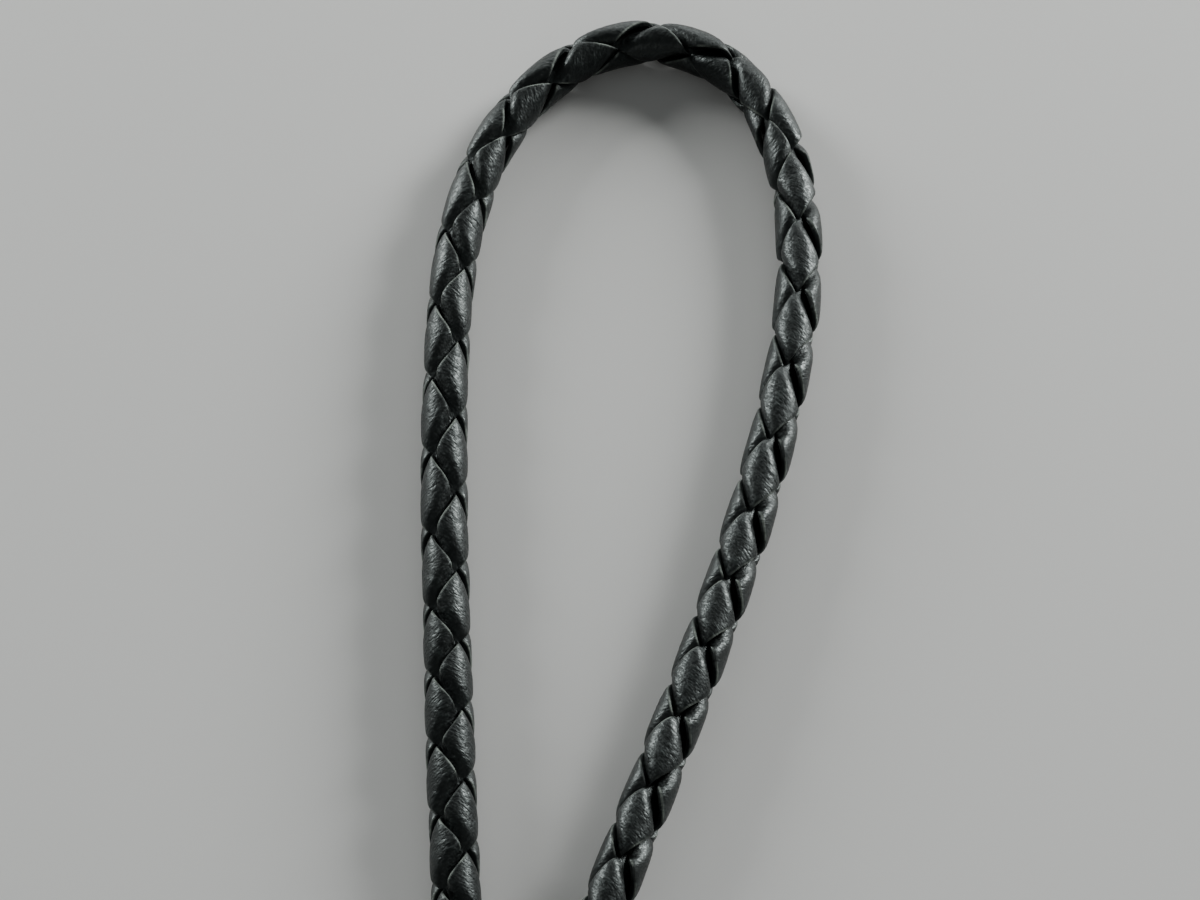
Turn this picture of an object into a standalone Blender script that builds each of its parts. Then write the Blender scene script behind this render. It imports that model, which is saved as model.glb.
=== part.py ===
# Bolo tie: a four-lace round braided leather cord, a plain slide and two tips.
# Everything is in metres, +Z up. The tie lies on its back in the XY plane with
# the slide's flat underside at the origin and the neck loop towards +Y.
import bpy
import numpy as np

MM = 0.001

# Driving dimensions, in millimetres.
CORD_RADIUS = 3.15        # outside of the braid, half of a quarter inch cord
LACE_THICKNESS = 1.05     # leather lace, measured through the cord's radius
LACE_GAP = 0.34           # clearance between two crossing laces
LACE_HALF_SPAN = 0.365    # half of a lace's width, as a part of half a turn
LACE_LEVEL = 0.03         # how far it stays level past a crossing, same measure
BRAID_PITCH = 23.05       # one full turn of a lace
BRAID_START = 5.3         # where along the cord a lace first comes on top
LEG_LENGTH = 221.5        # from the slide's middle to each end of the cord
LOOP_LENGTH = 190.7       # from the slide's middle to the neck loop's far side
LOOP_WIDTH = 48.0
LEG_GAP = 0.70            # between the two legs where the slide holds them
FLOOR_GAP = 0.05          # under the braid where it lies
CORD_CLEARANCE = 0.30     # braid to slide and braid to tip
SLIDE_LENGTH = 24.0
SLIDE_WALL = 1.0
SLIDE_ROUNDING = 0.40     # of its outer rims
TIP_LENGTH = 45.0
TIP_WALL = 1.0
TIP_SOCKET = 15.0         # depth of the hole that takes the braid
SOCKET_SPARE = 0.5        # from the cord's end to the bottom of that hole
TIP_BEAD_LENGTH = 1.9     # the ring at its mouth
TIP_BEAD_HEIGHT = 0.30
TIP_TAPER_LENGTH = 29.0   # from the end of the straight part to the nose
TIP_NOSE_RADIUS = 1.5
MOUTH_CHAMFER = 0.25      # inside the mouths of the slide and the tips

# Sizes that follow from them.
UNDER_IN = CORD_RADIUS - 2.0 * LACE_THICKNESS - LACE_GAP
UNDER_OUT = UNDER_IN + LACE_THICKNESS
OVER_IN = UNDER_OUT + LACE_GAP
BORE_RADIUS = CORD_RADIUS + CORD_CLEARANCE
SLIDE_HEIGHT = 2.0 * (BORE_RADIUS + SLIDE_WALL)
CORD_IN_SLIDE = 0.5 * SLIDE_HEIGHT
CORD_SPACING = 2.0 * CORD_RADIUS + LEG_GAP
TIP_RADIUS = BORE_RADIUS + TIP_WALL
CORD_REST = CORD_RADIUS + FLOOR_GAP

# The way of the cord's middle line: x, y and height, from the left tip's socket
# up the left leg, round the neck loop and down to the right tip's socket.
S, L, W, H = 0.5 * CORD_SPACING, LEG_LENGTH, LOOP_WIDTH, LOOP_LENGTH
SLIDE_END, TIP_MOUTH = 0.5 * SLIDE_LENGTH, LEG_LENGTH - 1.1 * TIP_SOCKET
ROUTE = [
    (-8.6, -L, TIP_RADIUS), (-8.4, -TIP_MOUTH, TIP_RADIUS),
    (-7.9, -0.745 * L, CORD_REST), (-6.9, -0.5418 * L, CORD_REST),
    (-5.3, -0.3386 * L, CORD_REST), (-3.9, -0.1625 * L, CORD_REST),
    (-S, -SLIDE_END, CORD_IN_SLIDE), (-S, 0.0, CORD_IN_SLIDE),
    (-S, SLIDE_END, CORD_IN_SLIDE), (-0.0792 * W, 0.1888 * H, CORD_REST),
    (-0.1104 * W, 0.3456 * H, CORD_REST), (-0.1396 * W, 0.473 * H, CORD_REST),
    (-0.1646 * W, 0.612 * H, CORD_REST), (-0.1688 * W, 0.7237 * H, CORD_REST),
    (-0.1313 * W, 0.839 * H, CORD_REST), (-0.0333 * W, 0.914 * H, CORD_REST),
    (0.15 * W, 0.9738 * H, CORD_REST), (0.4042 * W, H, CORD_REST),
    (0.6542 * W, 0.9712 * H, CORD_REST), (0.7938 * W, 0.9019 * H, CORD_REST),
    (0.8313 * W, 0.8222 * H, CORD_REST), (0.8083 * W, 0.7441 * H, CORD_REST),
    (0.75 * W, 0.6702 * H, CORD_REST), (0.5938 * W, 0.5328 * H, CORD_REST),
    (0.4167 * W, 0.4074 * H, CORD_REST), (0.2417 * W, 0.2884 * H, CORD_REST),
    (0.1167 * W, 0.1783 * H, CORD_REST), (S, SLIDE_END, CORD_IN_SLIDE),
    (S, 0.0, CORD_IN_SLIDE), (S, -SLIDE_END, CORD_IN_SLIDE),
    (4.1, -0.1625 * L, CORD_REST), (5.9, -0.3386 * L, CORD_REST),
    (7.8, -0.5418 * L, CORD_REST), (8.9, -0.745 * L, CORD_REST),
    (9.3, -TIP_MOUTH, TIP_RADIUS), (9.4, -L, TIP_RADIUS),
]

# How the cord is twisted: route point number and the turn there in degrees.
TWIST = [(0, -45.0), (17, -43.0), (20, -180.0), (35, -180.0)]


def clearScene():
    for thing in list(bpy.data.objects):
        bpy.data.objects.remove(thing, do_unlink=True)


# A natural cubic spline through the chosen points, sampled every quarter of a
# millimetre of its own length.
def smoothRoute():
    knots = np.array(ROUTE)
    n = len(knots)
    t = np.concatenate([[0.0], np.cumsum(np.linalg.norm(np.diff(knots, axis=0), axis=1))])
    h = np.diff(t)
    a = np.zeros((n, n))
    b = np.zeros((n, 3))
    a[0, 0] = a[-1, -1] = 1.0
    for i in range(1, n - 1):
        a[i, i - 1], a[i, i], a[i, i + 1] = h[i - 1], 2.0 * (h[i - 1] + h[i]), h[i]
        b[i] = 6.0 * ((knots[i + 1] - knots[i]) / h[i] - (knots[i] - knots[i - 1]) / h[i - 1])
    m = np.linalg.solve(a, b)
    out = []
    for i in range(n - 1):
        u = np.linspace(t[i], t[i + 1], 80, endpoint=False)[:, None]
        left, right = t[i + 1] - u, u - t[i]
        out.append((m[i] * left ** 3 + m[i + 1] * right ** 3) / (6.0 * h[i])
                   + (knots[i] / h[i] - m[i] * h[i] / 6.0) * left
                   + (knots[i + 1] / h[i] - m[i + 1] * h[i] / 6.0) * right)
    fine = np.vstack(out)
    part = np.tile(np.linspace(0.0, 1.0, 80, endpoint=False), n - 1)[:, None]
    low, high = np.repeat(knots[:-1, 2:], 80, axis=0), np.repeat(knots[1:, 2:], 80, axis=0)
    fine[:, 2:] = low + (high - low) * part ** 2 * (3.0 - 2.0 * part)
    run = np.concatenate([[0.0], np.cumsum(np.linalg.norm(np.diff(fine, axis=0), axis=1))])
    even = np.linspace(0.0, run[-1], int(run[-1] * 4) + 1)
    points = np.stack([np.interp(even, run, fine[:, k]) for k in range(3)], axis=1)
    return even, points, run[::80]


class Cord:
    def __init__(self):
        self.run, self.points, marks = smoothRoute()
        self.marks = np.append(marks, self.run[-1])[:len(ROUTE)]
        along = np.gradient(self.points, self.run, axis=0)
        self.along = along / np.linalg.norm(along, axis=1)[:, None]
        self.length = float(self.run[-1])

    def at(self, table, s):
        return np.array([np.interp(s, self.run, table[:, k]) for k in range(3)])

    def twist(self, s):
        where = [self.marks[k] for k, _ in TWIST]
        turn = [v for _, v in TWIST]
        i = int(np.clip(np.searchsorted(where, s) - 1, 0, len(where) - 2))
        f = float(np.clip((s - where[i]) / (where[i + 1] - where[i]), 0.0, 1.0))
        return np.radians(turn[i] + (turn[i + 1] - turn[i]) * f * f * (3.0 - 2.0 * f))

    # A point beside the middle line at an angle of the braid, which starts on
    # the cord's inner side, turns towards the top and has the cord's own twist.
    def beside(self, s, angle, radius):
        middle, along = self.at(self.points, s), self.at(self.along, s)
        angle = angle + self.twist(s)
        side = np.cross(along, (0.0, 0.0, 1.0))
        side /= np.linalg.norm(side)
        up = np.cross(side, along)
        return middle + radius * (np.cos(angle) * side + np.sin(angle) * up)


def makeObject(name, points, faces, colour, metallic, roughness, smooth, place=(0.0, 0.0, 0.0), turn=0.0):
    mesh = bpy.data.meshes.new(name)
    mesh.from_pydata([tuple(float(c) * MM for c in p) for p in points], [], faces)
    mesh.validate()
    for face in mesh.polygons:
        face.use_smooth = smooth
    material = bpy.data.materials.new(name)
    material.use_nodes = True
    shader = material.node_tree.nodes["Principled BSDF"]
    shader.inputs["Base Color"].default_value = (*colour, 1.0)
    shader.inputs["Metallic"].default_value = metallic
    shader.inputs["Roughness"].default_value = roughness
    mesh.materials.append(material)
    thing = bpy.data.objects.new(name, mesh)
    thing.location = [float(c) * MM for c in place]
    thing.rotation_euler = (0.0, 0.0, turn)
    bpy.context.collection.objects.link(thing)
    return thing


# One lace. Its rings lie along the edges of the two laces that run the other
# way: it is level on top of one, slopes down, and is level under the next.
def makeLace(cord, name, way, start):
    half = LACE_HALF_SPAN * np.pi
    reach = half + LACE_LEVEL * np.pi
    per_mm = 2.0 * np.pi / BRAID_PITCH
    shift = 0 if way > 0 else 1
    if start > 0.0:
        shift += 1
    rings = []
    count = int(cord.length / BRAID_PITCH * 4.0) + 8
    for k in range(-8, count):
        for edge in (-reach, reach):
            cross = k * np.pi + edge
            corners = []
            for mine in (-half, half):
                phase = 0.5 * (cross - way * (mine + start))
                angle = 0.5 * (way * cross + mine + start)
                corners.append((BRAID_START + phase / per_mm, angle))
            if min(c[0] for c in corners) < 0.0 or max(c[0] for c in corners) > cord.length:
                continue
            over = (k + shift) % 2 == 0
            low, high = (OVER_IN, CORD_RADIUS) if over else (UNDER_IN, UNDER_OUT)
            ring = [cord.beside(s, a, r) for r in (low, high) for s, a in corners]
            rings.append([ring[0], ring[1], ring[3], ring[2]])
    points = [p for ring in rings for p in ring]
    faces = [(0, 2, 1), (0, 3, 2)]
    for i in range(len(rings) - 1):
        a, b = 4 * i, 4 * i + 4
        for j in range(4):
            k = (j + 1) % 4
            # Each panel's ridge runs along the cord, from corner to corner, in
            # the same way on the upper and the lower lace of a crossing.
            if (way > 0) == (j in (0, 1, 3)):
                faces += [(a + j, a + k, b + j), (a + k, b + k, b + j)]
            else:
                faces += [(a + j, a + k, b + k), (a + j, b + k, b + j)]
    end = 4 * (len(rings) - 1)
    faces += [(end, end + 1, end + 2), (end, end + 2, end + 3)]
    return makeObject(name, points, faces, (0.012, 0.014, 0.013), 0.0, 0.42, False)


# A ring of outline points swept through rows, each row (place, radius).
def sweep(rows, outline, close):
    points, faces = [], []
    for place, radius in rows:
        points += outline(place, radius)
    n = len(points) // len(rows)
    last = len(rows) if close else len(rows) - 1
    for i in range(last):
        a, b = i * n, ((i + 1) % len(rows)) * n
        for j in range(n):
            k = (j + 1) % n
            faces.append((a + j, b + j, b + k, a + k))
    return points, faces


# The slide: a plain metal sleeve with a rounded flat section. Both legs of the
# cord pass through its one bore, side by side.
def makeSlide():
    half, outer = 0.5 * SLIDE_LENGTH, BORE_RADIUS + SLIDE_WALL
    cut, edge, corner = MOUTH_CHAMFER, SLIDE_ROUNDING, 0.3 * SLIDE_ROUNDING
    rows = [(half, BORE_RADIUS + cut), (half - cut, BORE_RADIUS)]
    rows = [(half - edge, outer), (half - corner, outer - corner), (half, outer - edge)] + rows
    rows = [(-place, radius) for place, radius in reversed(rows)] + rows

    def outline(place, radius):
        ring = []
        for side in (1, -1):
            for i in range(13):
                a = np.pi * i / 12.0 - 0.5 * np.pi
                ring.append((side * (S + radius * np.cos(a)), place, side * radius * np.sin(a)))
        return ring

    points, faces = sweep(rows, outline, True)
    return makeObject("slide", points, faces, (0.62, 0.62, 0.60), 1.0, 0.30, True,
                      (0.0, 0.0, CORD_IN_SLIDE))


# A tip: a tapered metal ferrule with a bead at its mouth, a round nose and a
# socket for the braid.
def makeTip(cord, name, at_start):
    s = 0.0 if at_start else cord.length
    end, along = cord.at(cord.points, s), cord.at(cord.along, s)
    out = -along if at_start else along
    turn = float(np.arctan2(out[0], -out[1]))
    mouth = end + out * (SOCKET_SPARE - TIP_SOCKET)
    body, bead = TIP_RADIUS - TIP_BEAD_HEIGHT, TIP_BEAD_LENGTH
    nose = TIP_LENGTH - TIP_NOSE_RADIUS
    outer = [(0.0, body - 0.5 * TIP_BEAD_HEIGHT)]
    outer += [(bead * f, body + TIP_BEAD_HEIGHT * rise) for f, rise in
              ((0.12, 0.6), (0.4, 1.0), (0.8, 0.6), (1.0, 0.0))]
    for f, fall in ((0.0, 0.03), (0.5, 0.45), (0.9, 0.87), (1.0, 1.0)):
        place = nose - TIP_TAPER_LENGTH * (1.0 - f)
        outer.append((place, body + (TIP_NOSE_RADIUS - body) * fall))
    outer += [(nose + TIP_NOSE_RADIUS * np.sin(a), TIP_NOSE_RADIUS * np.cos(a))
              for a in np.radians((40.0, 75.0))]
    inner = [(TIP_SOCKET, 0.1 * BORE_RADIUS), (TIP_SOCKET, BORE_RADIUS),
             (MOUTH_CHAMFER, BORE_RADIUS), (0.0, BORE_RADIUS + MOUTH_CHAMFER)]

    def outline(place, radius):
        angles = [2.0 * np.pi * i / 24.0 for i in range(24)]
        return [(radius * np.cos(a), -place, radius * np.sin(a)) for a in angles]

    points, faces = sweep(inner + outer, outline, False)
    n = len(points)
    points += [(0.0, -TIP_SOCKET, 0.0), (0.0, -TIP_LENGTH, 0.0)]
    for j in range(24):
        k = (j + 1) % 24
        faces.append((n, j, k))
        faces.append((n + 1, n - 24 + k, n - 24 + j))
    faces = [tuple(reversed(face)) for face in faces]
    return makeObject(name, points, faces, (0.62, 0.62, 0.60), 1.0, 0.30, True,
                      (mouth[0], mouth[1], TIP_RADIUS), turn)


def build():
    clearScene()
    cord = Cord()
    makeLace(cord, "lace_1", 1, 0.0)
    makeLace(cord, "lace_2", 1, np.pi)
    makeLace(cord, "lace_3", -1, 0.0)
    makeLace(cord, "lace_4", -1, np.pi)
    makeSlide()
    makeTip(cord, "tip_left", True)
    makeTip(cord, "tip_right", False)


build()
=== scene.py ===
import math

import bmesh
import bpy
import numpy as np
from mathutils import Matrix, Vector


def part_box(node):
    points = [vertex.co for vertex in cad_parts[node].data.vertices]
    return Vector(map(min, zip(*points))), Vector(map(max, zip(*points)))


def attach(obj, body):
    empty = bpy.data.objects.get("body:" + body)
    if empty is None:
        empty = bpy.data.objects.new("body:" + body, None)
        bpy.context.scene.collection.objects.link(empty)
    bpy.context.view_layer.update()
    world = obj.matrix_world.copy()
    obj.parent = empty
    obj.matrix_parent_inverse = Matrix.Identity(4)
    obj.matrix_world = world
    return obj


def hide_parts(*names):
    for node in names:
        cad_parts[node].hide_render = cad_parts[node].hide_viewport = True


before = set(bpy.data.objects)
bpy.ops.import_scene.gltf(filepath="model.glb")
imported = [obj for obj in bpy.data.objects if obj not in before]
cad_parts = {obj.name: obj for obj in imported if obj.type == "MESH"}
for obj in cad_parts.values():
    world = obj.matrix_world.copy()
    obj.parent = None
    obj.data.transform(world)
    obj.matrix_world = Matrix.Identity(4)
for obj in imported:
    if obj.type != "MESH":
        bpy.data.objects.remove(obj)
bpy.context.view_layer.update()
print("frame loaded:", ", ".join(sorted(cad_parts)))


# Small helpers. Two places closer together than tiny count as the same.
tiny = 0.00001


def startPiece():
    if bpy.context.object and bpy.context.object.mode != "OBJECT":
        bpy.ops.object.mode_set(mode="OBJECT")
    bpy.ops.object.select_all(action="DESELECT")


def pickPiece(piece):
    startPiece()
    piece.select_set(True)
    bpy.context.view_layer.objects.active = piece


def settlePiece(piece, name):  # its place goes into its mesh
    piece.name = name
    piece.data.name = name
    pickPiece(piece)
    bpy.ops.object.transform_apply(location=True, rotation=True, scale=True)
    return piece


def pickEdges(piece, wanted):  # selects edges in edit mode by their two ends
    bpy.ops.mesh.select_mode(type="EDGE")
    bpy.ops.mesh.select_all(action="DESELECT")
    shape = bmesh.from_edit_mesh(piece.data)
    for edge in shape.edges:
        edge.select = wanted(edge.verts[0].co, edge.verts[1].co)
    shape.select_flush(False)
    bmesh.update_edit_mesh(piece.data)


# Materials

def newMaterial(name):
    material = bpy.data.materials.new(name)
    material.use_nodes = True
    nodes, links = material.node_tree.nodes, material.node_tree.links
    return material, nodes, links, nodes["Principled BSDF"]


leatherLook = {
    "black": (0.0030, 0.0034, 0.0034),
    "rubbed": (0.016, 0.021, 0.020),
    # light cut edges: partly their own raw colour, partly a painted highlight for the glint on
    # their rims
    "cutEdgeAndGlint": (0.17, 0.19, 0.17),
    "sheen": (0.90, 1.0, 0.985),     # the tint of its gloss
    "smooth": 0.34,                  # its roughness where it is smoothest,
    "dull": 0.56,                    # where it is dullest
    "dullEdge": 0.75,                # and on the cut edges
    "creaseDepth": 0.00012,
    "foldShare": 0.2,                # of the creases' depth
    "grainDepth": 0.00004,
    "grainStrength": 0.7,
    # how dense each pattern is in a centimetre, along a lace and across it
    "creases": (25.0, 11.0),
    "folds": (9.0, 5.0),
    "grain": (40.0, 32.0),
    "patches": (4.0, 5.0),
    # over which part of a pattern an effect comes up
    "creasedPatches": (0.40, 0.62),
    "rubbedPatches": (0.42, 0.70),
    "rubbedCreases": (0.40, 0.68),
    "lightPatches": (0.42, 0.60),
    "dullFrom": (0.38, 0.64),
    # where the cut edges are: below the crown and above the underside, far out
    # from the middle, and on a lace that lies on top; on a lace underneath they stay
    # dark, partly as painted shade between the laces and partly as unworn edge
    "edgeTop": (0.80, 0.70),
    "edgeFoot": (0.30, 0.50),
    "edgeOut": (0.86, 0.94),
    "edgeWornAndUnshaded": (0.1, 0.6),
}


def braidLeather():
    look = leatherLook
    material, nodes, links, shader = newMaterial("braidLeather")
    place = nodes.new("ShaderNodeUVMap")
    place.uv_map = "alongLace"

    def noise(density, detail):
        turn = nodes.new("ShaderNodeMapping")
        turn.inputs["Scale"].default_value = (*density, 1.0)
        links.new(place.outputs["UV"], turn.inputs["Vector"])
        pattern = nodes.new("ShaderNodeTexNoise")
        pattern.inputs["Scale"].default_value = 1.0
        pattern.inputs["Detail"].default_value = detail
        pattern.inputs["Roughness"].default_value = 0.5
        links.new(turn.outputs["Vector"], pattern.inputs["Vector"])
        return pattern.outputs["Fac"]

    def ramp(source, low, high, fromValue=0.0, toValue=1.0):
        stretch = nodes.new("ShaderNodeMapRange")
        stretch.inputs["From Min"].default_value = low
        stretch.inputs["From Max"].default_value = high
        stretch.inputs["To Min"].default_value = fromValue
        stretch.inputs["To Max"].default_value = toValue
        links.new(source, stretch.inputs["Value"])
        return stretch.outputs["Result"]

    def maths(kind, a, b):
        step = nodes.new("ShaderNodeMath")
        step.operation = kind
        for socket, value in zip(step.inputs, (a, b)):
            if isinstance(value, float):
                socket.default_value = value
            else:
                links.new(value, socket)
        return step.outputs[0]

    def mixColour(amount, a, b):
        mix = nodes.new("ShaderNodeMix")
        mix.data_type = "RGBA"
        links.new(amount, mix.inputs["Factor"])
        for socket, value in ((mix.inputs["A"], a), (mix.inputs["B"], b)):
            if isinstance(value, tuple):
                socket.default_value = (*value, 1.0)
            else:
                links.new(value, socket)
        return mix.outputs["Result"]

    def attribute(name):
        read = nodes.new("ShaderNodeAttribute")
        read.attribute_name = name
        return read.outputs["Fac"]

    # fine creases lie across each lace, with broader folds and small pores
    creases = noise(look["creases"], 1.0)
    folds = noise(look["folds"], 1.0)
    grain = noise(look["grain"], 0.0)
    patches = noise(look["patches"], 3.0)
    creased = maths("MULTIPLY", creases, ramp(patches, *look["creasedPatches"], 0.25, 1.0))

    rubbed = maths("MULTIPLY", ramp(patches, *look["rubbedPatches"]),
                   ramp(creases, *look["rubbedCreases"]))
    base = mixColour(rubbed, look["black"], look["rubbed"])

    # the cut edges of a lace that lies on top are light, more so in some patches:
    # partly the edge's own raw colour and partly a painted highlight for the glint along their
    # rims
    across = maths("ABSOLUTE", attribute("across"), 0.0)
    raised = attribute("raised")
    atEdge = maths("MULTIPLY", ramp(raised, *look["edgeTop"]), ramp(raised, *look["edgeFoot"]))
    atEdge = maths("MULTIPLY", atEdge, ramp(across, *look["edgeOut"]))
    # on a lace underneath the light edges fade out: partly painted shade between the laces,
    # partly no wear there
    atEdge = maths("MULTIPLY", atEdge, ramp(attribute("onTop"), *look["edgeWornAndUnshaded"]))
    broken = maths("MULTIPLY", atEdge, ramp(patches, *look["lightPatches"], 0.06, 1.0))
    links.new(mixColour(broken, base, look["cutEdgeAndGlint"]), shader.inputs["Base Color"])

    worn = maths("ADD", maths("MULTIPLY", creases, 0.5), maths("MULTIPLY", grain, 0.5))
    dull = ramp(worn, *look["dullFrom"], look["smooth"], look["dull"])
    dull = maths("MAXIMUM", dull, maths("MULTIPLY", atEdge, look["dullEdge"]))
    links.new(dull, shader.inputs["Roughness"])
    shader.inputs["Specular Tint"].default_value = (*look["sheen"], 1.0)

    deep = nodes.new("ShaderNodeBump")
    deep.inputs["Strength"].default_value = 1.0
    deep.inputs["Distance"].default_value = look["creaseDepth"]
    relief = maths("ADD", creased, maths("MULTIPLY", folds, look["foldShare"]))
    links.new(relief, deep.inputs["Height"])
    fine = nodes.new("ShaderNodeBump")
    fine.inputs["Strength"].default_value = look["grainStrength"]
    fine.inputs["Distance"].default_value = look["grainDepth"]
    links.new(grain, fine.inputs["Height"])
    links.new(deep.outputs["Normal"], fine.inputs["Normal"])
    links.new(fine.outputs["Normal"], shader.inputs["Normal"])
    return material


metalLook = {
    "colour": (0.62, 0.62, 0.60),
    "roughness": 0.26,             # where it is smoothest
    "brushed": 0.42,               # and where it is most brushed
    "brushRange": (0.35, 0.65),    # the part of the pattern between the two
    "scratchDepth": 0.000012,
    "scratchStrength": 0.6,
    "smoothBelow": 32.0,           # degrees: sharper edges stay sharp
}


def satinMetal(name, scale):  # scale: how the brushing is stretched on each axis
    look = metalLook
    material, nodes, links, shader = newMaterial(name)
    shader.inputs["Base Color"].default_value = (*look["colour"], 1.0)
    shader.inputs["Metallic"].default_value = 1.0
    place = nodes.new("ShaderNodeTexCoord")
    turn = nodes.new("ShaderNodeMapping")
    turn.inputs["Scale"].default_value = scale
    links.new(place.outputs["Object"], turn.inputs["Vector"])
    brush = nodes.new("ShaderNodeTexNoise")
    brush.inputs["Scale"].default_value = 1.0
    brush.inputs["Detail"].default_value = 4.0
    brush.inputs["Roughness"].default_value = 0.65
    links.new(turn.outputs["Vector"], brush.inputs["Vector"])
    gloss = nodes.new("ShaderNodeMapRange")
    gloss.inputs["From Min"].default_value = look["brushRange"][0]
    gloss.inputs["From Max"].default_value = look["brushRange"][1]
    gloss.inputs["To Min"].default_value = look["roughness"]
    gloss.inputs["To Max"].default_value = look["brushed"]
    links.new(brush.outputs["Fac"], gloss.inputs["Value"])
    links.new(gloss.outputs["Result"], shader.inputs["Roughness"])
    bump = nodes.new("ShaderNodeBump")
    bump.inputs["Strength"].default_value = look["scratchStrength"]
    bump.inputs["Distance"].default_value = look["scratchDepth"]
    links.new(brush.outputs["Fac"], bump.inputs["Height"])
    links.new(bump.outputs["Normal"], shader.inputs["Normal"])
    return material


def finishMetal(piece, name, brushing):
    pickPiece(piece)
    bpy.ops.object.shade_smooth_by_angle(angle=math.radians(metalLook["smoothBelow"]))
    piece.data.materials.clear()
    piece.data.materials.append(satinMetal(name, brushing))
    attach(piece, "root")


# The camera stands where the photo was taken from

camera = {
    "place": (0.0125, -0.0716, 0.3405),
    "elevation": 60.0,       # degrees above the floor
    "fieldOfView": 23.0,
    "sensor": 36.0,
}


def placeCamera():
    data = bpy.data.cameras.new("photoCamera")
    data.sensor_width = camera["sensor"]
    data.lens = 0.5 * camera["sensor"] / math.tan(math.radians(camera["fieldOfView"] / 2.0))
    thing = bpy.data.objects.new("photoCamera", data)
    bpy.context.scene.collection.objects.link(thing)
    thing.location = camera["place"]
    thing.rotation_euler = (math.radians(90.0 - camera["elevation"]), 0.0, 0.0)
    bpy.context.scene.camera = thing


placeCamera()
print("camera placed")


# The way of the cord's middle line: left tip, left leg, neck loop, right leg,
# right tip. The same points as the solids' own. It lies low, but is held up and
# its legs are held apart in the slide, and it is held up in the tips.
low, up, apart = 0.0032, 0.00445, 0.0035
cordRoute = [
    (-0.0086, -0.2215, up), (-0.0084, -0.205, up), (-0.0079, -0.165, low),
    (-0.0069, -0.120, low), (-0.0053, -0.075, low), (-0.0039, -0.036, low),
    (-apart, -0.012, up), (-apart, 0.0, up), (-apart, 0.012, up),
    (-0.0038, 0.036, low), (-0.0053, 0.0659, low), (-0.0067, 0.0902, low),
    (-0.0079, 0.1167, low), (-0.0081, 0.138, low), (-0.0063, 0.160, low),
    (-0.0016, 0.1743, low), (0.0072, 0.1857, low), (0.0194, 0.1907, low),
    (0.0314, 0.1852, low), (0.0381, 0.172, low), (0.0399, 0.1568, low),
    (0.0388, 0.1419, low), (0.036, 0.1278, low), (0.0285, 0.1016, low),
    (0.020, 0.0777, low), (0.0116, 0.055, low), (0.0056, 0.034, low),
    (apart, 0.012, up), (apart, 0.0, up), (apart, -0.012, up),
    (0.0041, -0.036, low), (0.0059, -0.075, low), (0.0078, -0.120, low),
    (0.0089, -0.165, low), (0.0093, -0.205, up), (0.0094, -0.2215, up),
]

braid = {
    # one full turn of a lace, by route point: the braid is tighter on the legs
    "pitch": ((0, 0.0190), (11, 0.0190), (12, 0.02355), (22, 0.02355), (23, 0.0203),
              (35, 0.0203)),
    "start": 0.00220,          # where along the cord the first lace comes on top
    "middle": 0.00188,         # a lace's middle swings about this distance from the centre
    "swing": 0.00074,
    "level": 2.4,              # how long it stays up or down: higher is flatter
    "late": math.radians(12.0),    # how far past a crossing it goes down and comes up
    "thickness": 0.00112,
    "halfOver": math.radians(84.0),    # half of its width where it lies on top
    "halfUnder": math.radians(80.0),   # and where it is squeezed underneath
    "straighten": 0.21,        # how far a lace on top lines up with the cord
    "straightenEnds": 0.05,    # and how evenly it does so along the visible stretch
    "flat": 0.00010,           # how far the edges of the stiff lace stand off the round
    "tilt": 0.00010,           # and the edge that faces the right tip stands up further
    "unevenPlace": 0.11,       # slow changes along a lace: where it crosses, in radians,
    "unevenWidth": 0.05,       # its width
    "unevenSwing": 0.10,       # and how high it comes, as parts of them
    "shortOfEnds": 0.0003,     # its ends lie this far inside the ends of the cord
    "grainRadius": 0.0025,     # the round from which the leather's pattern is laid flat
    "grainPerLace": 0.5,       # cm: each lace, and the underside of each,
    "grainUnder": 0.37,        # has another stretch of the pattern
    "ringsPerPitch": 60,
    "twist": ((0, -45.0), (17, -43.0), (20, -180.0), (35, -180.0)),  # route point, degrees
}

# Across a lace: how far out from its middle and how high, as parts of its half
# width and half thickness. The top is flat and its cut edges are square.
laceSection = (
    (0.0, 1.0), (0.28, 0.985), (0.52, 0.94), (0.72, 0.88), (0.86, 0.82), (0.94, 0.75),
    (0.98, 0.64), (1.0, 0.40), (1.0, -0.30), (0.98, -0.66), (0.90, -0.88), (0.66, -0.97),
    (0.34, -1.0),
)


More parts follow.
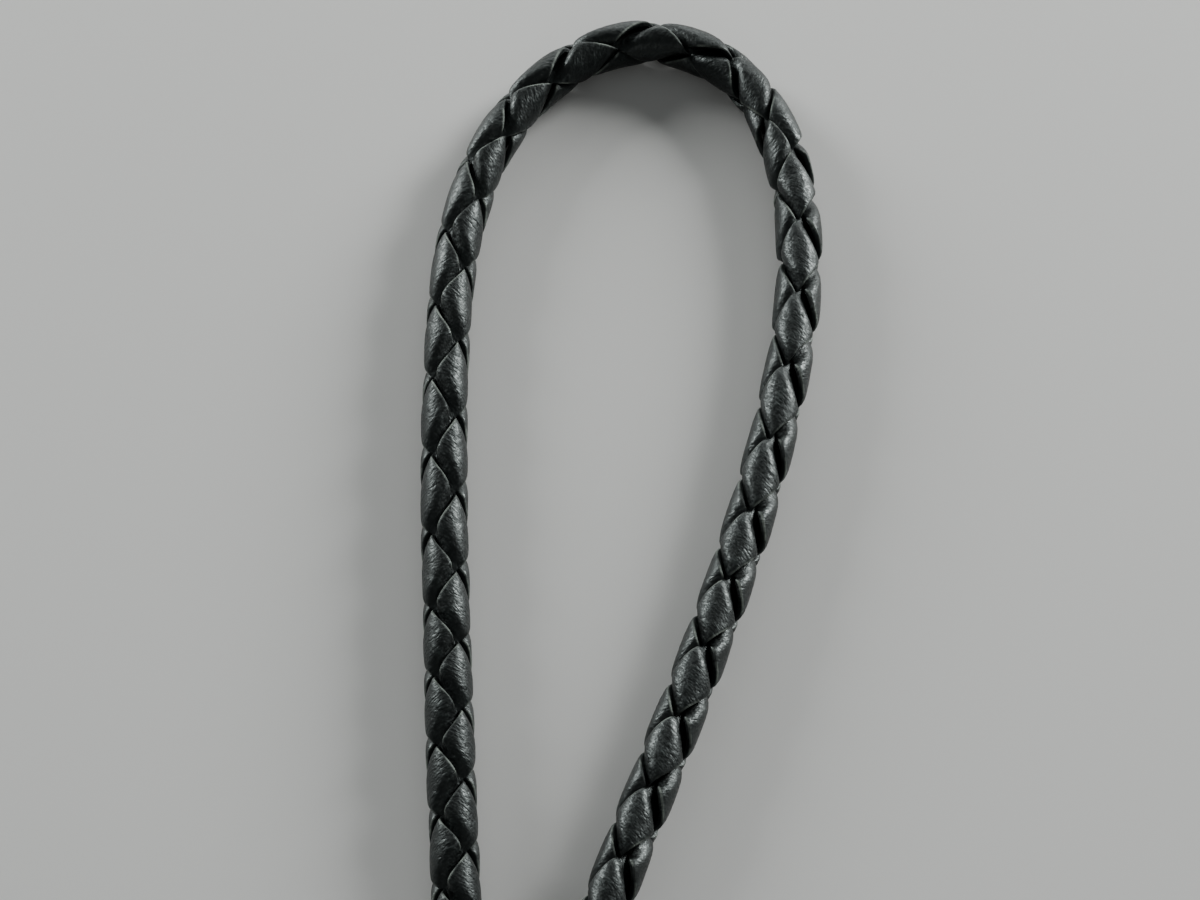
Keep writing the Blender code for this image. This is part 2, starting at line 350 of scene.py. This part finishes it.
def smoothRoute():
    # a natural cubic spline through the points, with height by smooth steps,
    # and then points at even distances on it
    parts, perMetre = 80, 4000
    knots = np.array(cordRoute)
    count = len(knots)
    t = np.concatenate([[0.0], np.cumsum(np.linalg.norm(np.diff(knots, axis=0), axis=1))])
    gap = np.diff(t)
    grid, right = np.zeros((count, count)), np.zeros((count, 3))
    grid[0, 0] = grid[-1, -1] = 1.0
    for i in range(1, count - 1):
        grid[i, i - 1:i + 2] = gap[i - 1], 2.0 * (gap[i - 1] + gap[i]), gap[i]
        right[i] = 6.0 * ((knots[i + 1] - knots[i]) / gap[i]
                          - (knots[i] - knots[i - 1]) / gap[i - 1])
    bend = np.linalg.solve(grid, right)
    pieces = []
    for i in range(count - 1):
        u = np.linspace(t[i], t[i + 1], parts, endpoint=False)[:, None]
        a, b = t[i + 1] - u, u - t[i]
        pieces.append((bend[i] * a ** 3 + bend[i + 1] * b ** 3) / (6.0 * gap[i])
                      + (knots[i] / gap[i] - bend[i] * gap[i] / 6.0) * a
                      + (knots[i + 1] / gap[i] - bend[i + 1] * gap[i] / 6.0) * b)
        f = np.linspace(0.0, 1.0, parts, endpoint=False)
        rise = knots[i + 1, 2] - knots[i, 2]
        pieces[-1][:, 2] = knots[i, 2] + rise * f * f * (3.0 - 2.0 * f)
    fine = np.vstack(pieces)
    run = np.concatenate([[0.0], np.cumsum(np.linalg.norm(np.diff(fine, axis=0), axis=1))])
    even = np.linspace(0.0, run[-1], int(run[-1] * perMetre) + 1)
    points = np.stack([np.interp(even, run, fine[:, k]) for k in range(3)], axis=1)
    return even, points, np.append(run[::parts], run[-1])


class CordLine:
    # run: the length up to each point; marks: up to each route point; along: its
    # direction; turned: how far a lace has turned round it, in radians
    def __init__(self):
        self.run, self.points, self.marks = smoothRoute()
        self.length = float(self.run[-1])
        along = np.gradient(self.points, self.run, axis=0)
        self.along = along / np.linalg.norm(along, axis=1)[:, None]
        perMetre = 2.0 * math.pi / self.eased(braid["pitch"], self.run)
        steps = 0.5 * (perMetre[1:] + perMetre[:-1]) * np.diff(self.run)
        turned = np.concatenate([[0.0], np.cumsum(steps)])
        self.turned = turned - np.interp(braid["start"], self.run, turned)

    def read(self, table, s):
        return np.stack([np.interp(s, self.run, table[:, k]) for k in range(3)], axis=-1)

    def eased(self, rows, s):  # rows of a route point's number and the value there
        value = np.full(np.shape(s), float(rows[0][1]))
        for (i, a), (j, b) in zip(rows, rows[1:]):
            f = np.clip((s - self.marks[i]) / (self.marks[j] - self.marks[i]), 0.0, 1.0)
            value += (b - a) * f * f * (3.0 - 2.0 * f)
        return value

    def beside(self, s, angle, radius):
        # angle 0 is the loop's inner side and 90 degrees is the top
        middle, along = self.read(self.points, s), self.read(self.along, s)
        side = np.cross(along, (0.0, 0.0, 1.0))
        side /= np.linalg.norm(side, axis=-1, keepdims=True)
        up = np.cross(side, along)
        angle = (angle + np.radians(self.eased(braid["twist"], s)))[..., None]
        return middle + radius[..., None] * (np.cos(angle) * side + np.sin(angle) * up)


def unevenness(x, seed, size):  # slow, small and the same in every run
    total = np.zeros_like(x)
    for k, rate in enumerate((0.31, 0.73, 1.27, 2.1)):
        total += np.sin(rate * x + 1.7 * seed + 2.3 * k * (seed + 1.0)) / (1.0 + 0.6 * k)
    return size * total / 2.0


def makeLace(line, name, way, start, seed):
    # x is twice the turn of the lace's middle, and m the turn from there across it
    b = braid
    ring = [(a, h) for a, h in laceSection] + [(-a, h) for a, h in reversed(laceSection[1:])]
    across, raised = np.array([r[0] for r in ring]), np.array([r[1] for r in ring])
    shift = (0 if way > 0 else 1) + (1 if start > 0.0 else 0)
    spare = 8.0     # the rings are slanted, so they start before the cord does
    x = np.arange(-spare, 2.0 * line.turned[-1] + spare, 4.0 * math.pi / b["ringsPerPitch"])
    own = x + shift * math.pi + unevenness(x, seed, b["unevenPlace"])
    wider = 0.5 * (b["halfOver"] - b["halfUnder"])
    half = 0.5 * (b["halfOver"] + b["halfUnder"]) + wider * np.cos(own)
    half = half * (1.0 + unevenness(x, seed + 4.0, b["unevenWidth"]))
    m = across[None, :] * half[:, None]
    xx = np.repeat(x[:, None], len(ring), axis=1)
    s = np.interp(0.5 * (xx - way * (m + start)), line.turned, line.run)
    ends = b["shortOfEnds"]
    keep = (s.min(axis=1) > ends) & (s.max(axis=1) < line.length - ends)
    straighter = b["straighten"] * np.sin(own) - b["straightenEnds"] * np.sin(2.0 * own)
    angle = 0.5 * (way * xx + m + start) - way * straighter[:, None]

    # how high it comes, from -1 underneath to 1 on top
    lift = np.tanh(b["level"] * np.cos(own - b["late"])) / math.tanh(b["level"])
    uneven = 1.0 + unevenness(x, seed + 9.0, b["unevenSwing"])
    middle = b["middle"] + b["swing"] * lift * uneven
    radius = middle[:, None] + 0.5 * b["thickness"] * raised[None, :]
    edges = b["flat"] * across ** 2 - b["tilt"] * way * across
    radius = radius + np.clip(lift, 0.0, 1.0)[:, None] * edges[None, :]
    points = line.beside(s[keep], angle[keep], radius[keep])

    # the same rings laid flat, in centimetres, for its leather's grain
    perMetre = (line.turned[-1] - line.turned[0]) / line.length
    a, c = 0.5 * b["grainRadius"], 0.5 / perMetre
    long = math.hypot(a, c)
    along = 100.0 * (long * xx + (a ** 2 - c ** 2) / long * m * way)[keep]
    wide = 100.0 * (2.0 * a * c / long * m)[keep]
    underneath = np.where(raised < -0.5, b["grainUnder"], 0.0)
    wide = wide + b["grainPerLace"] * seed + underneath[None, :]

    rings, count = points.shape[:2]
    marks = {"across": np.tile(across, rings), "raised": np.tile(raised, rings),
             "onTop": np.repeat(lift[keep], count)}
    return laceMesh(name, points, marks, np.stack([along, wide], axis=-1).reshape(-1, 2))


def laceMesh(name, points, marks, flat):
    rings, count = points.shape[:2]
    i, j = np.meshgrid(np.arange(rings - 1), np.arange(count), indexing="ij")
    k = (j + 1) % count
    quads = np.stack([i * count + j, i * count + k, (i + 1) * count + k, (i + 1) * count + j],
                     axis=-1)
    faces = [tuple(q) for q in quads.reshape(-1, 4)[:, ::-1].tolist()]
    faces.append(tuple(range(count)))
    faces.append(tuple(reversed(range((rings - 1) * count, rings * count))))
    mesh = bpy.data.meshes.new(name)
    mesh.from_pydata(points.reshape(-1, 3).tolist(), [], faces)
    mesh.polygons.foreach_set("use_smooth", [True] * len(mesh.polygons))
    for label, values in marks.items():
        layer = mesh.attributes.new(label, "FLOAT", "POINT")
        layer.data.foreach_set("value", values.astype(np.float32))
    corners = np.zeros(len(mesh.loops), np.int32)
    mesh.loops.foreach_get("vertex_index", corners)
    uv = mesh.uv_layers.new(name="alongLace")
    uv.data.foreach_set("uv", flat[corners].astype(np.float32).ravel())
    mesh.update()
    piece = bpy.data.objects.new(name, mesh)
    bpy.context.scene.collection.objects.link(piece)
    return piece


def makeCord():
    line = CordLine()
    leather = braidLeather()
    laces = ((1, 0.0), (1, math.pi), (-1, 0.0), (-1, math.pi))
    for number, (way, start) in enumerate(laces, 1):
        piece = makeLace(line, f"braidLace{number}", way, start, float(number))
        piece.data.materials.append(leather)
        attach(piece, "root")
        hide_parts(f"lace_{number}")
    print("cord braided:", round(line.length, 3), "m")
    return line


cordLine = makeCord()


# The slide is a plain sleeve with a rounded flat section, brushed lengthwise.
slide = {
    "wall": 0.0010,
    "rim": 0.00028,       # how far its rims are rounded
    "rimSteps": 5,
    "sides": 96,
    "join": 0.000002,     # how close its two halves meet before they are joined
    "brushing": (9000.0, 260.0, 9000.0),
}


def onRimFace(a, b, centre, apart, middle):
    # true for the short edges that cross a rim from its outer to its inner side
    def out(v):
        return math.hypot(max(abs(v.x - centre) - apart, 0.0), v.z - middle)
    return abs(out(a) - out(b)) > tiny


def makeSlide():
    low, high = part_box("slide")
    length, height = high[1] - low[1], high[2] - low[2]
    outer = 0.5 * height
    apart = 0.5 * (high[0] - low[0]) - outer      # each leg's middle, from the slide's own
    centre = 0.5 * (low[0] + high[0])
    startPiece()
    bpy.ops.mesh.primitive_cylinder_add(
        vertices=slide["sides"], radius=outer, depth=length, end_fill_type="NOTHING",
        location=(centre + apart, 0.5 * (low[1] + high[1]), low[2] + outer),
        rotation=(math.radians(90.0), 0.0, 0.0))
    piece = settlePiece(bpy.context.object, "slideSleeve")

    # keep the outer half of the tube and draw its two open edges to the middle
    bpy.ops.object.mode_set(mode="EDIT")
    bpy.ops.mesh.select_all(action="SELECT")
    bpy.ops.mesh.bisect(plane_co=(centre + apart, 0.0, 0.0), plane_no=(1.0, 0.0, 0.0),
                        clear_inner=True)
    pickEdges(piece, lambda a, b: max(a.x, b.x) < centre + apart + tiny)
    bpy.ops.mesh.extrude_region_move(TRANSFORM_OT_translate={"value": (-apart, 0.0, 0.0)})
    bpy.ops.object.mode_set(mode="OBJECT")
    mirror = piece.modifiers.new("otherHalf", "MIRROR")
    mirror.use_axis = (True, False, False)
    mirror.merge_threshold = slide["join"]
    bpy.ops.object.modifier_apply(modifier=mirror.name)
    bpy.ops.object.mode_set(mode="EDIT")
    bpy.ops.mesh.select_all(action="SELECT")
    bpy.ops.mesh.normals_make_consistent(inside=False)
    bpy.ops.object.mode_set(mode="OBJECT")
    wall = piece.modifiers.new("wall", "SOLIDIFY")
    wall.thickness = slide["wall"]
    wall.offset = -1.0
    wall.use_even_offset = True
    bpy.ops.object.modifier_apply(modifier=wall.name)

    # round the four rims
    ends = (low[1], high[1])
    bpy.ops.object.mode_set(mode="EDIT")
    pickEdges(piece, lambda a, b: (abs(a.y - b.y) < tiny
                                   and min(abs(a.y - e) for e in ends) < tiny
                                   and not onRimFace(a, b, centre, apart, low[2] + outer)))
    bpy.ops.mesh.bevel(offset=slide["rim"], segments=slide["rimSteps"], profile=0.5)
    bpy.ops.object.mode_set(mode="OBJECT")
    finishMetal(piece, "brushedSlide", slide["brushing"])
    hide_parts("slide")
    print("slide made")


# A tip is a turned ferrule: a bead at its mouth, a long taper and a round nose.
tip = {
    "length": 0.045,
    "socket": 0.015,      # how deep its hole is
    "bore": 0.00345,
    "lip": 0.0002,        # how far its mouth is rounded, inside and outside
    "bead": 0.0019,       # the length of its bead, and the radius over it
    "overBead": 0.00445,
    "body": 0.00415,
    "taper": ((0.0019, 0.00415), (0.0145, 0.00405), (0.029, 0.00298), (0.0406, 0.00186),
              (0.0435, 0.00155)),
    "nose": 0.0015,
    "seat": 0.0005,       # the cord stops this far short of the hole's bottom
    "sides": 72,
    "brushing": (260.0, 9000.0, 260.0),
}


def tipRows():  # from the bottom of the hole round the mouth to the nose: place, radius
    t = tip
    lip, beadSteps, taperSteps, noseSteps = t["lip"], 10, 27, 9
    rows = [(2.0 * lip, t["bore"]), (0.5 * lip, t["bore"] + 0.3 * lip),
            (0.0, t["bore"] + lip), (0.0, t["body"] - lip)]
    for i in range(beadSteps + 1):
        f = i / beadSteps
        rows.append((0.5 * lip + (t["bead"] - 0.5 * lip) * f,
                     t["body"] + (t["overBead"] - t["body"]) * math.sin(math.pi * f) ** 0.7))
    places = np.linspace(t["taper"][0][0] + 3.0 * lip, t["taper"][-1][0], taperSteps)
    plain = np.interp(places, [p for p, r in t["taper"]], [r for p, r in t["taper"]])
    padded = np.concatenate([plain[:1], plain[:1], plain, plain[-1:], plain[-1:]])
    eased = np.convolve(padded, np.ones(5) / 5.0, "valid")
    rows += list(zip(places[:-2].tolist(), eased[:-2].tolist()))
    for i in range(1, noseSteps):
        a = math.radians(90.0 * i / noseSteps)
        rows.append((t["length"] - t["nose"] * (1.0 - math.sin(a)), t["nose"] * math.cos(a)))
    return rows


def makeTip(name, node, atStart):
    end = cordLine.points[0 if atStart else -1]
    out = -cordLine.along[0] if atStart else cordLine.along[-1]
    mouth = end + out * (tip["seat"] - tip["socket"])
    startPiece()
    bpy.ops.mesh.primitive_circle_add(
        vertices=tip["sides"], radius=tip["bore"], fill_type="TRIFAN",
        location=(0.0, -tip["socket"], 0.0), rotation=(math.radians(90.0), 0.0, 0.0))
    piece = settlePiece(bpy.context.object, name)
    bpy.ops.object.mode_set(mode="EDIT")
    pickEdges(piece, lambda a, b: min(math.hypot(v.x, v.z) for v in (a, b)) > 0.5 * tip["bore"])
    place, radius = tip["socket"], tip["bore"]
    for nextPlace, nextRadius in tipRows():
        bpy.ops.mesh.extrude_region_move(
            TRANSFORM_OT_translate={"value": (0.0, place - nextPlace, 0.0)})
        grow = nextRadius / radius
        bpy.ops.transform.resize(value=(grow, 1.0, grow), center_override=(0.0, -nextPlace, 0.0))
        place, radius = nextPlace, nextRadius
    bpy.ops.mesh.extrude_region_move(
        TRANSFORM_OT_translate={"value": (0.0, place - tip["length"], 0.0)})
    bpy.ops.mesh.merge(type="CENTER")
    bpy.ops.mesh.select_all(action="SELECT")
    bpy.ops.mesh.normals_make_consistent(inside=False)
    bpy.ops.object.mode_set(mode="OBJECT")
    piece.location = (mouth[0], mouth[1], tip["overBead"])
    piece.rotation_euler = (0.0, 0.0, math.atan2(out[0], -out[1]))
    piece = settlePiece(piece, name)
    finishMetal(piece, name + "Metal", tip["brushing"])
    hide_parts(node)
    print("tip made:", name)


makeSlide()
makeTip("leftFerrule", "tip_left", True)
makeTip("rightFerrule", "tip_right", False)


# Floor and light

studio = {
    "floor": (0.74, 0.735, 0.72),
    "floorRoughness": 0.7,
    "floorSize": 6.0,
    "world": (0.62, 0.66, 0.66),
    "worldStrength": 0.16,
    "aim": (0.0, 0.1, 0.0),      # every lamp points here
    # name, place, size, watts, colour
    "lamps": (
        ("windowLeft", (-0.72, 0.76, 0.29), 0.34, 8.0, (0.97, 1.0, 0.99)),
        ("windowRight", (0.74, 0.74, 0.31), 0.34, 13.0, (0.98, 1.0, 0.99)),
        ("windowBack", (0.02, 1.15, 0.26), 0.60, 3.5, (0.97, 1.0, 0.99)),
        ("softFront", (0.05, -0.95, 0.75), 0.60, 1.0, (1.0, 0.99, 0.97)),
    ),
}


def lightStudio():
    startPiece()
    bpy.ops.mesh.primitive_plane_add(size=studio["floorSize"], location=(0.0, 0.0, 0.0))
    floor = settlePiece(bpy.context.object, "studioFloor")
    material, nodes, links, shader = newMaterial("studioFloor")
    shader.inputs["Base Color"].default_value = (*studio["floor"], 1.0)
    shader.inputs["Roughness"].default_value = studio["floorRoughness"]
    floor.data.materials.append(material)
    world = bpy.data.worlds.new("studio")
    world.use_nodes = True
    sky = world.node_tree.nodes["Background"]
    sky.inputs["Color"].default_value = (*studio["world"], 1.0)
    sky.inputs["Strength"].default_value = studio["worldStrength"]
    bpy.context.scene.world = world
    for name, place, size, watts, colour in studio["lamps"]:
        lamp = bpy.data.lights.new(name, "AREA")
        lamp.size = size
        lamp.energy = watts
        lamp.color = colour
        thing = bpy.data.objects.new(name, lamp)
        thing.location = place
        aim = Vector(studio["aim"]) - Vector(place)
        thing.rotation_euler = aim.to_track_quat("-Z", "Y").to_euler()
        bpy.context.scene.collection.objects.link(thing)


lightStudio()
print("studio lit")
